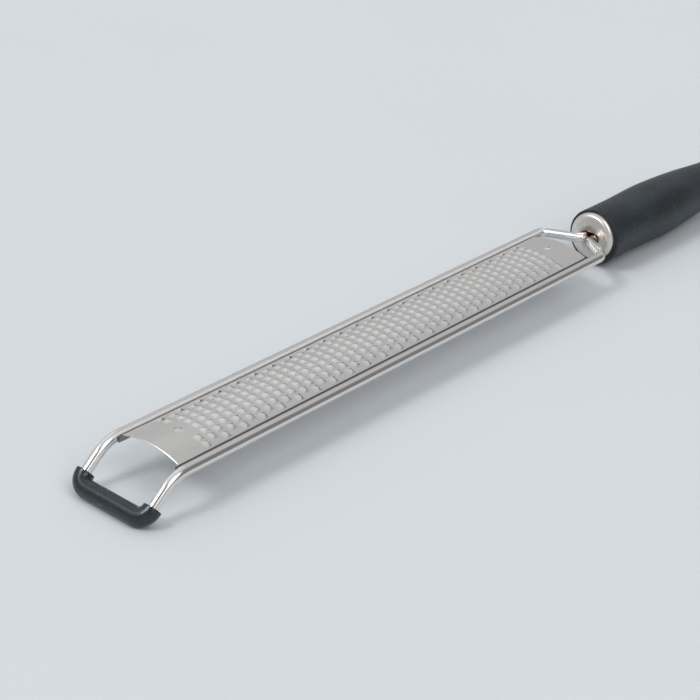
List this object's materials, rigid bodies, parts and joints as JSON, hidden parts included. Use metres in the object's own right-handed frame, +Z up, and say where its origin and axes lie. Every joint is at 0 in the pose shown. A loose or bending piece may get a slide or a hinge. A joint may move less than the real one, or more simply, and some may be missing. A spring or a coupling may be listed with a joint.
{
  "type": "rasp zester",
  "caption": "Handheld rasp zester: a narrow arched blade of raised teeth between the rails of a bent wire frame, with a rubber foot and a soft-grip handle.",
  "frame": {"origin": "on the table, under the middle of the overall length, where the foot and the belly of the handle rest", "axes": "+Y from the foot to the handle, along the tool; +Z up, towards the teeth; +X to the right of a person holding the handle"},
  "size_m": [0.0376, 0.399, 0.0246],
  "materials": {
    "frame_steel": "polished stainless rod",
    "blade_steel": "satin stainless sheet with cut and raised teeth",
    "ferrule_steel": "turned stainless face with a bright shoulder",
    "foot_rubber": "matte black rubber",
    "core_plastic": "moulded hard plastic",
    "grip_rubber": "matte soft-touch overmould, very dark slate"
  },
  "bodies": {
    "root": {"wire_frame": "frame_steel", "grater_blade": "blade_steel", "foot_sleeve": "foot_rubber", "ferrule": "ferrule_steel", "handle_core": "core_plastic", "handle_grip": "grip_rubber"}
  },
  "joints": []
}
